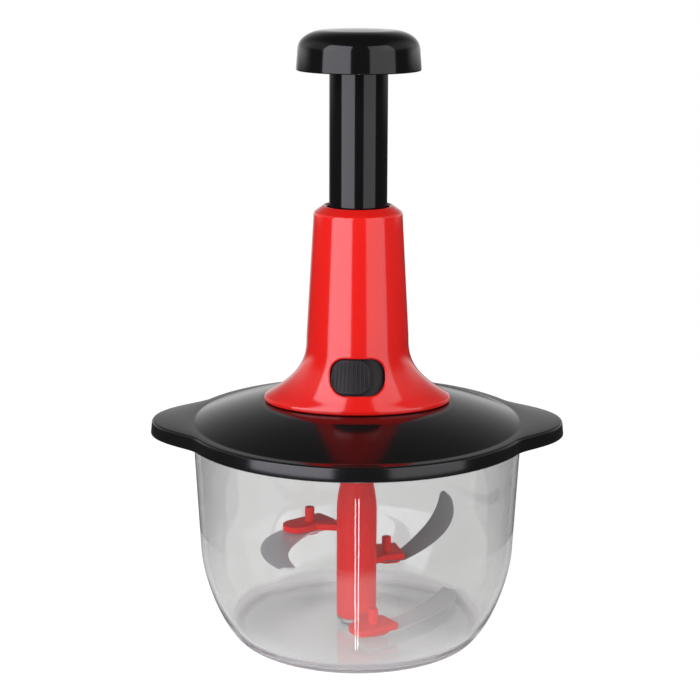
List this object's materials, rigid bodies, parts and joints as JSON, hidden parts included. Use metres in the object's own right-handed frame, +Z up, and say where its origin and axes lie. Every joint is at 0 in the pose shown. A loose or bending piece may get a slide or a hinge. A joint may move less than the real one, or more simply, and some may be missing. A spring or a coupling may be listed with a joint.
{
  "type": "hand press food chopper",
  "caption": "Hand press food chopper: clear bowl with a blade rotor, domed black lid with a red tower, and a palm knob on a sprung plunger that spins the blades.",
  "frame": {"origin": "on the table under the middle of the bowl", "axes": "+Z up along the axis of the plunger and the blade shaft, front with the lock slider towards -Y, lid ears along X"},
  "size_m": [0.2034, 0.1712, 0.2996],
  "materials": {
    "clear_plastic": "clear, polished",
    "red_plastic": "gloss",
    "black_plastic": "satin gloss",
    "grey_plastic": "plain",
    "slider_plastic": "fine grain",
    "steel": "ground",
    "seal_rubber": "silicone"
  },
  "bodies": {
    "bowl": {"bowl": "clear_plastic", "spindle_pin": "steel"},
    "blade_rotor": {"blade_shaft": "red_plastic", "foot_bush": "steel", "bottom_blade": "steel", "middle_blade": "steel", "top_blade": "steel"},
    "lid": {"lid": "black_plastic", "lid_seal": "seal_rubber", "housing_shell": "red_plastic", "guide_sleeve": "grey_plastic", "bearing_plate": "black_plastic", "housing_screws": "steel", "spring_cup": "steel", "return_spring": "steel", "thrust_washer": "steel", "drive_retainer": "black_plastic", "spring_washer": "steel", "retainer_screws": "steel"},
    "drive": {"drive_nut": "grey_plastic", "ratchet_hub": "grey_plastic", "nut_clip": "steel"},
    "plunger": {"knob": "black_plastic", "plunger_tube": "black_plastic", "rod_anchor": "grey_plastic", "anchor_pin": "steel", "knob_screws": "steel", "twisted_rod": "steel"},
    "lock": {"lock_slider": "slider_plastic"}
  },
  "joints": [
    {"name": "lid_lift", "type": "slide", "parent": "bowl", "child": "lid", "axis": [0, 0, 1], "range_m": [0, 0.12]},
    {"name": "plunger_press", "type": "slide", "parent": "lid", "child": "plunger", "axis": [0, 0, -1], "range_m": [0, 0.058], "stiffness_N_per_m": 200, "springref_m": -0.05, "deforming": ["return_spring"]},
    {"name": "drive_spin", "type": "hinge", "parent": "lid", "child": "drive", "pos_m": [0, 0, 0.112], "axis": [0, 0, 1], "continuous": true},
    {"name": "blade_spin", "type": "hinge", "parent": "bowl", "child": "blade_rotor", "pos_m": [0, 0, 0.006], "axis": [0, 0, 1], "continuous": true},
    {"name": "lock_turn", "type": "hinge", "parent": "lid", "child": "lock", "pos_m": [0, 0, 0.137], "axis": [0, 0, 1], "range_deg": [0, 13.2]}
  ],
  "couplings": [
    {"joint": "drive_spin", "follows": "plunger_press", "rad_per_m": -216.66},
    {"joint": "blade_spin", "follows": "plunger_press", "rad_per_m": -216.66}
  ]
}
